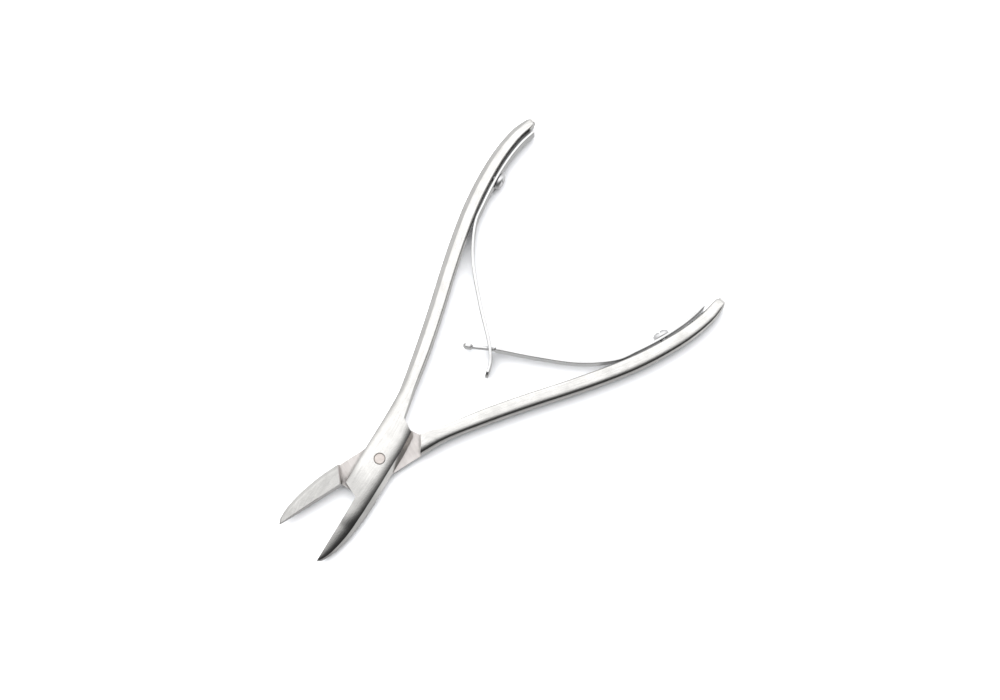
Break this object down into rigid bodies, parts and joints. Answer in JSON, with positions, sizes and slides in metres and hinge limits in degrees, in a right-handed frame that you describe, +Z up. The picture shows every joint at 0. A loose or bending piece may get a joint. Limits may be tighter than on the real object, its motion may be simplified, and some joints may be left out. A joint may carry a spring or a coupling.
{
  "type": "grozing pliers",
  "caption": "Slim all-steel spring-handled pliers: two bowed arms on a riveted lap joint, tapering jaws with straight meeting edges, and interlocked leaf springs that hold them open.",
  "frame": {"origin": "on the rivet's axis, at the plane that the pliers lie on", "axes": "+Z up along the rivet, +Y along the pliers from the joint to the handles, midway between them in the open pose, +X towards the lower arm's handle"},
  "size_m": [0.085, 0.1416, 0.007],
  "materials": {
    "satin_steel": "satin, finely brushed along the length",
    "spring_steel": "polished spring strip",
    "rivet_steel": "ground flush with the lap plate, faintly warm",
    "screw_steel": "turned and polished"
  },
  "bodies": {
    "lower_arm": {"lower_arm": "satin_steel", "pivot_rivet": "rivet_steel", "lower_spring_screw": "screw_steel"},
    "upper_arm": {"upper_arm": "satin_steel", "upper_spring_screw": "screw_steel"},
    "upper_spring": {"upper_spring": "spring_steel"},
    "lower_spring": {"lower_spring": "spring_steel"}
  },
  "joints": [
    {"name": "pivot", "type": "hinge", "parent": "lower_arm", "child": "upper_arm", "pos_m": [0, 0, 0], "axis": [0, 0, 1], "range_deg": [-25.2, 2], "stiffness_Nm_per_rad": 2},
    {"name": "upper_spring_flex", "type": "hinge", "parent": "upper_arm", "child": "upper_spring", "pos_m": [-0.0285, 0.0698, 0.0035], "axis": [0, 0, 1], "range_deg": [-18.6, 1.5], "deforming": ["upper_spring"]},
    {"name": "lower_spring_flex", "type": "hinge", "parent": "lower_arm", "child": "lower_spring", "pos_m": [0.0285, 0.0698, 0.0035], "axis": [0, 0, 1], "range_deg": [-1.5, 18.6], "deforming": ["lower_spring"]}
  ],
  "couplings": [
    {"joint": "upper_spring_flex", "follows": "pivot", "ratio": 0.7365},
    {"joint": "lower_spring_flex", "follows": "pivot", "ratio": -0.7365}
  ]
}
